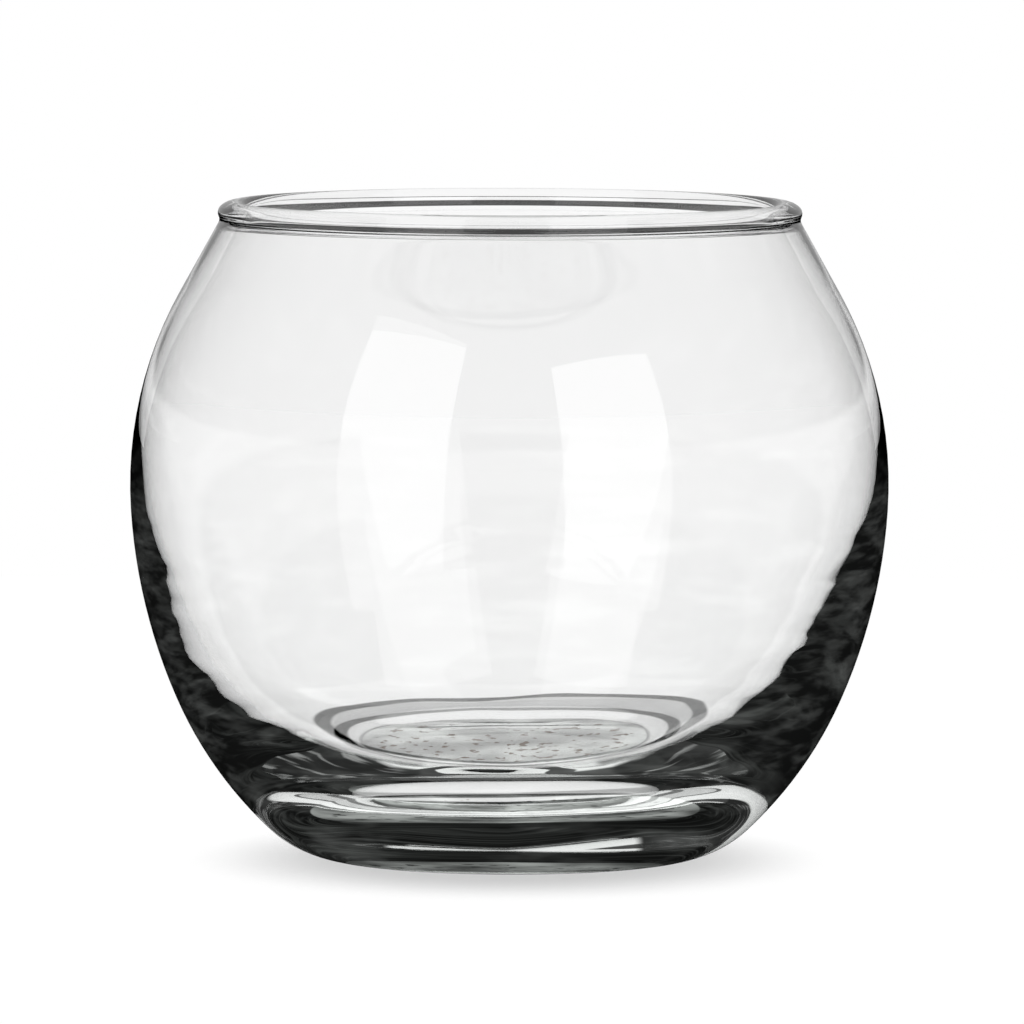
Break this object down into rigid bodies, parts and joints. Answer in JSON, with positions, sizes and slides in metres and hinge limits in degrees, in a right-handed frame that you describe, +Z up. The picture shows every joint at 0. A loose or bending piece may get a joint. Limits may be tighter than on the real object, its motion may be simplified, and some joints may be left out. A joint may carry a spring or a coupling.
{
  "type": "rose bowl vase",
  "caption": "Clear glass bowl for flowers: thick base with a flat foot, full rounded belly, short neck drawn in to a wide mouth with a rounded lip.",
  "frame": {"origin": "centre of the plane that the foot rests on, on the bowl's axis", "axes": "+Z up along the bowl's axis, from the foot to the mouth; the bowl is round, so X and Y are free, and -Y faces the viewer"},
  "size_m": [0.127, 0.127, 0.1102],
  "materials": {
    "glass": "clear, fire-polished, very slightly grey in the thick base"
  },
  "bodies": {
    "root": {"glass_bowl": "glass"}
  },
  "joints": []
}
